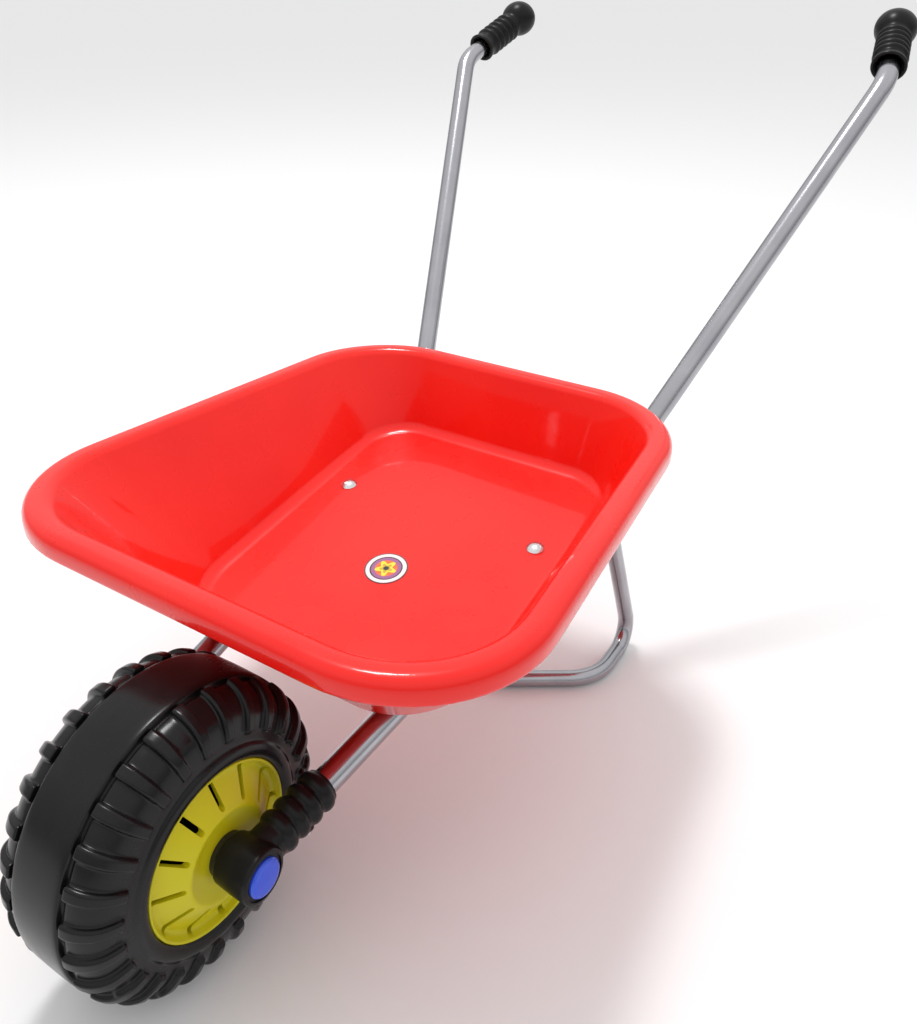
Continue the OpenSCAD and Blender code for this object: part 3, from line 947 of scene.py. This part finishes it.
@dataclass
class Grips:
    """Ribbed grips with a flared cuff and a ball end."""

    bore: float = 8.3
    body: float = 12.1
    ball: float = 17.0
    rings: int = 5
    pitch: float = 7.6
    first: float = 10.2
    bend_r: float = 39.0
    gap: float = 11.0

    def build(self, finish: bpy.types.Material) -> None:
        """Model the left grip, copy it to the right and hand both over.

        Args:
            finish: Their material.
        """
        along = LAY.grip_dir()
        handle = LAY.heading(LAY.handle_rise, LAY.handle_splay)
        start = self.bend_r * math.tan(handle.angle(along) / 2) + self.gap
        length = LAY.grip_l - start
        grip = Bench.lathe("left_ribbed_grip", self._outline(length), 64)
        Bench.press(grip, "SUBSURF", levels=1, render_levels=1)
        spot = LAY.upper_bend() + along * start
        Bench.set_down(grip, LAY.place(*spot), along)
        Bench.close(grip, 60.0)
        twin = Bench.other_side(grip, "right_ribbed_grip")
        Bench.fit(grip, "frame", "left_grip", "grip_plastic", finish)
        Bench.fit(twin, "frame", "right_grip", "grip_plastic", finish)

    def _outline(self, length: float) -> list[tuple[float, float]]:
        """Section from inside the cuff, over the rings, to the tip of the ball.

        Args:
            length: From the cuff to the middle of the ball, mm.

        Returns:
            Radius and height of each point.
        """
        line = [(self.bore, 12.0), (self.bore, 5.2), (9.6, 2.6), (11.4, 0.3), (12.2, -0.4), (13.2, 0.0),
                (13.8, 1.0), (13.5, 2.8), (12.7, 5.4), (11.9, 8.0)]
        for k in range(self.rings):
            z = self.first + self.pitch * k
            line += [(self.body - 0.6, z), (self.body + 0.3, z + 1.2), (self.body + 1.6, z + 2.5),
                     (self.body + 1.9, z + 3.8), (self.body + 1.5, z + 5.2), (self.body + 0.1, z + 6.6)]
        neck = self.first + self.pitch * self.rings
        line += [(self.body - 0.6, neck), (self.body - 0.8, neck + 2.5)]
        low = -math.acos((self.body - 0.3) / self.ball)
        for k in range(15):
            turn = low + (math.pi / 2 - low) * k / 14
            line.append((max(0.0, self.ball * math.cos(turn)), length + self.ball * math.sin(turn)))
        return line


# --------------------------------------------------------------------------- axle holders


@dataclass
class Holders:
    """Moulded holders: ribbed sleeve on the rail end and a boss for the axle."""

    sleeve_r: float = 10.6
    sleeve_l: float = 58.0
    boss_r: float = 15.0
    boss_in: float = 46.6
    boss_out: float = 70.0
    screw_at: float = 42.0
    screw_lean: float = 15.0
    grain: float = 0.65

    def build(self, finish: bpy.types.Material) -> None:
        """Model the left holder, copy it to the right and hand both over.

        Args:
            finish: Their material.
        """
        along = (LAY.rail(-1.0) - LAY.rail(0.0)).normalized()
        sleeve = Bench.lathe("left_holder", self._sleeve(), 64)
        Bench.set_down(sleeve, LAY.place(*LAY.rail(0.0)), along)
        boss = Bench.lathe("boss", self._boss(), 64)
        Bench.set_down(boss, LAY.place(0.0, 0.0, 0.0), Vector((0.0, 1.0, 0.0)))
        peg = Bench.lathe("peg", [(0.0, 2.0), (4.5, 2.0), (4.4, 13.2), (3.9, 13.9), (0.0, 13.9)], 32)
        Bench.set_down(peg, LAY.place(*(LAY.rail(0.0) + along * self.screw_at)), self._screw_dir())
        holder = Bench.join([sleeve, boss, peg], "left_ribbed_holder")
        Bench.press(holder, "REMESH", mode="VOXEL", voxel_size=self.grain * MM, use_smooth_shade=True)
        Bench.press(holder, "SMOOTH", factor=0.5, iterations=4)
        cutter = Bench.lathe("cutter", self._recess(), 64)
        Bench.set_down(cutter, LAY.place(0.0, 0.0, 0.0), Vector((0.0, 1.0, 0.0)))
        Bench.press(holder, "BOOLEAN", operation="DIFFERENCE", object=cutter, solver="EXACT")
        Bench.only(cutter)
        bpy.ops.object.delete()
        Bench.close(holder, 35.0)
        twin = Bench.other_side(holder, "right_ribbed_holder")
        Bench.fit(holder, "frame", "left_axle_holder", "holder_plastic", finish)
        Bench.fit(twin, "frame", "right_axle_holder", "holder_plastic", finish)

    def _sleeve(self) -> list[tuple[float, float]]:
        """Section of the sleeve with its rounded rings and open end.

        Returns:
            Radius and height of each point.
        """
        r, end = self.sleeve_r, self.sleeve_l
        line = [(0.0, 2.0), (r - 1.0, 2.0), (r, 5.0), (r, 17.0)]
        for k in range(4):
            z = 20.2 + 9.4 * k
            line += [(r - 0.3, z), (r + 0.9, z + 1.0), (r + 1.6, z + 2.6), (r + 1.7, z + 4.2),
                     (r + 1.4, z + 5.8), (r + 0.5, z + 7.2), (r - 0.3, z + 8.0)]
        line += [(r - 0.2, end - 0.6), (r - 0.7, end), (8.4, end), (8.1, end - 0.8), (8.1, end - 10.0),
                 (0.0, end - 10.0)]
        return line

    def _boss(self) -> list[tuple[float, float]]:
        """Section of the boss from the wheel side outward.

        Returns:
            Radius and height of each point.
        """
        r, a, b = self.boss_r, self.boss_in, self.boss_out
        return [(0.0, a), (r - 1.8, a), (r - 0.9, a + 0.9), (r - 0.2, a + 12.0), (r, b - 1.4),
                (r - 0.4, b - 0.4), (r - 1.3, b), (0.0, b)]

    def _recess(self) -> list[tuple[float, float]]:
        """Section of the seat for the cap, cut into the boss.

        Returns:
            Radius and height of each point.
        """
        b, cap, rim = self.boss_out, 10.6, 12.4
        return [(0.0, b - 4.05), (cap, b - 4.05), (cap, b - 1.0), (rim, b - 1.0), (rim + 0.4, b + 3.0),
                (0.0, b + 3.0)]

    def _screw_dir(self) -> Vector:
        """Direction of the holder screw.

        Returns:
            Unit vector down and outward from the sleeve.
        """
        lean, rise = math.radians(self.screw_lean), math.radians(LAY.rail_rise)
        out = Vector((0.0, math.sin(lean), -math.cos(lean)))
        return Matrix.Rotation(-rise, 3, "Y") @ out


# --------------------------------------------------------------------------- hubs


@dataclass
class Hubs:
    """Yellow hub halves: rolled lip, valley, coned face with slots, and a funnel round the axle."""

    lip: float = 48.0
    half_w: float = 40.0
    bore: float = 9.0
    face: float = 45.0
    slots: int = 12
    slot_w: float = 3.2
    slot_in: float = 28.4

    def build(self, finish: bpy.types.Material) -> None:
        """Model both hub halves and hand them over.

        Args:
            finish: Their material.
        """
        for side, name in ((1, "left"), (-1, "right")):
            hub = Bench.lathe(f"{name}_slotted_hub", self._outline(), 120)
            Bench.press(
                hub, "BEVEL", width=0.7 * MM, segments=3, limit_method="ANGLE", angle_limit=math.radians(24.0)
            )
            cutter = self._cutters(side)
            Bench.press(hub, "BOOLEAN", operation="DIFFERENCE", object=cutter, solver="EXACT")
            Bench.only(cutter)
            bpy.ops.object.delete()
            Bench.close(hub, 32.0)
            Bench.set_down(hub, LAY.place(0.0, 0.0, 0.0), Vector((0.0, float(side), 0.0)))
            Bench.fit(hub, "wheel", f"{name}_hub", "hub_plastic", finish)

    def _outline(self) -> list[tuple[float, float]]:
        """Closed section of one hub half.

        Returns:
            Radius and distance from the middle plane.
        """
        r, h, f, b = self.lip, self.half_w, self.face, self.bore
        line = [
            (r, h - 9.0), (r, h - 0.5), (r - 1.4, h - 0.5), (r - 3.2, h - 4.4), (r - 4.6, h - 5.2),
            (r - 6.2, h - 4.8), (r - 8.0, h - 3.6), (27.8, h + 4.4), (26.6, h + 5.0), (25.4, h + 5.0),
            (24.2, h + 4.5),
            (20.0, f - 1.6), (17.0, f - 2.0), (b, f - 2.0), (b, f - 5.0), (16.0, f - 5.0), (24.6, h + 1.8),
            (r - 8.4, h - 6.6), (r - 5.2, h - 8.2), (r - 2.6, h - 7.4), (r - 2.6, h - 9.0),
        ]
        return line + [line[0]]

    def _cutters(self, side: int) -> bpy.types.Object:
        """Ring of rounded bars that cut the slots of one side.

        Args:
            side: 1 or -1.

        Returns:
            The joined bars.
        """
        long = self.lip - 2.4 - self.slot_in
        bars = []
        for k in range(self.slots):
            Bench.clear()
            bpy.ops.mesh.primitive_cube_add(size=1.0)
            bar = bpy.context.object
            bar.scale = (long * MM, self.slot_w * MM, 24.0 * MM)
            Bench.freeze(bar)
            Bench.edit(bar)
            Bench.pick(bar, Kind.EDGE, lambda e: all(v.co.x < 0 for v in e.verts)
                       and abs(e.verts[0].co.y - e.verts[1].co.y) < 1e-6)
            bpy.ops.mesh.bevel(offset=self.slot_w * 0.49 * MM, segments=6, affect="EDGES")
            bpy.ops.object.mode_set(mode="OBJECT")
            bar.location = ((self.slot_in + long / 2) * MM, 0.0, (self.half_w - 2.0) * MM)
            Bench.freeze(bar)
            turn = math.radians((k - 0.05 * side) * 360.0 / self.slots)
            bar.rotation_euler = (0.0, 0.0, turn * side)
            Bench.freeze(bar)
            bars.append(bar)
        return Bench.join(bars, "slot_bars")


# --------------------------------------------------------------------------- studio


@dataclass
class Studio:
    """Floor, soft light and the camera."""

    floor_size: float = 80.0
    eye: tuple[float, float, float] = (0.5699, 0.3385, 0.5111)
    look: tuple[float, float, float] = (-0.7626, -0.5235, -0.3800)
    roll: float = -0.007
    lens: float = 34.84
    shift: tuple[float, float] = (0.0450, -0.1405)
    key_place: tuple[float, float, float] = (-0.2, -0.55, 2.6)
    key_aim: tuple[float, float, float] = (0.0, 0.0, 0.1)
    key_size: tuple[float, float] = (0.55, 0.4)
    key_power: float = 30.0

    def build(self) -> None:
        """Make the floor, the surroundings, the light and the camera."""
        self._floor()
        self._world()
        self._light()
        self._camera()

    def _floor(self) -> None:
        """Large plain sheet under the wheel and stand."""
        Bench.clear()
        bpy.ops.mesh.primitive_plane_add(size=self.floor_size, location=(0.0, 0.0, -0.0004))
        floor = bpy.context.object
        floor.name = "studio_floor"
        floor.data.materials.append(StudioPaper().material())
        Bench.freeze(floor)

    @staticmethod
    def _world() -> None:
        """Even pale surroundings."""
        world = bpy.data.worlds.new("studio_air")
        world.use_nodes = True
        g = Graph("studio_air", world)
        height = g.node("ShaderNodeSeparateXYZ", {}, {0: g.place}, 2)
        g.set(Color=g.mix(height.span(0.0, 0.55), (0.34, 0.34, 0.35), (1.0, 1.0, 1.0)), Strength=0.97)
        bpy.context.scene.world = world

    def _light(self) -> None:
        """Soft key from above the right-hand side."""
        data = bpy.data.lights.new("ceiling_box", "AREA")
        data.shape = "RECTANGLE"
        data.size, data.size_y = self.key_size
        data.energy = self.key_power
        lamp = bpy.data.objects.new("ceiling_box", data)
        lamp.location = self.key_place
        aim = Vector(self.key_aim) - Vector(self.key_place)
        lamp.rotation_euler = aim.to_track_quat("-Z", "Y").to_euler()
        bpy.context.collection.objects.link(lamp)

    def _camera(self) -> None:
        """Camera above the wheel's left shoulder, looking back along the barrow."""
        data = bpy.data.cameras.new("camera")
        data.lens = self.lens
        data.sensor_width = 36.0
        data.shift_x, data.shift_y = self.shift
        data.clip_start, data.clip_end = 0.02, 60.0
        camera = bpy.data.objects.new("camera", data)
        camera.location = self.eye
        turn = Vector(self.look).to_track_quat("-Z", "Y").to_matrix()
        camera.rotation_euler = (turn @ Matrix.Rotation(self.roll, 3, "Z")).to_euler()
        bpy.context.collection.objects.link(camera)
        bpy.context.scene.camera = camera
        bpy.context.scene.view_settings.view_transform = "Standard"


# --------------------------------------------------------------------------- main


def dress(node: str, material: bpy.types.Material) -> None:
    """Give a CAD node its finish.

    Args:
        node: Name of the node.
        material: Finish for all its slots.
    """
    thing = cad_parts[node]
    if not thing.data.materials:
        thing.data.materials.append(material)
    for spot in thing.material_slots:
        spot.material = material
    LOG.info("%s: %s", node, material.name)


def label() -> bpy.types.Material:
    """Print of the floor label, centred on its node.

    Returns:
        The material.
    """
    lo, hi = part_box("floor_label")
    return LabelPrint(tuple((lo + hi) / 2), lean=math.radians(LAY.rail_rise), radius=15.0 * MM).material()


def main() -> None:
    """Build every piece and the studio."""
    logging.basicConfig(level=logging.INFO, format="%(name)s: %(message)s")
    soot, ash = (0.006, 0.006, 0.0065), (0.016, 0.016, 0.017)
    red = Enamel().material()
    tube = PlatedTube().material()
    bolt = BrightSteel().material()
    black = Moulded("black_plastic", soot, ash, (0.28, 0.38), ior=1.28).material()
    tyre = Moulded("tyre_plastic", soot, (0.014, 0.014, 0.015), (0.19, 0.28), ior=1.33).material()
    hub = Moulded("hub_plastic", (0.62, 0.56, 0.006), (0.55, 0.47, 0.01), (0.26, 0.36), ior=1.36).material()
    cap = Moulded("cap_plastic", (0.03, 0.09, 0.72), (0.05, 0.12, 0.60), (0.18, 0.26)).material()
    bush = Moulded("bush_plastic", (0.012, 0.012, 0.012), (0.03, 0.03, 0.03)).material()
    finishes = {
        "left_rail": tube, "right_rail": tube, "stand": tube, "left_axle_cap": cap, "right_axle_cap": cap,
        "axle_bushes": bush, "floor_label": label(),
    }
    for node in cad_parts:
        dress(node, finishes.get(node, bolt))
    Tray().build(red)
    Tyre().build(tyre)
    Hubs().build(hub)
    Grips().build(black)
    Holders().build(black)
    Studio().build()


if __name__ == "__main__":
    main()
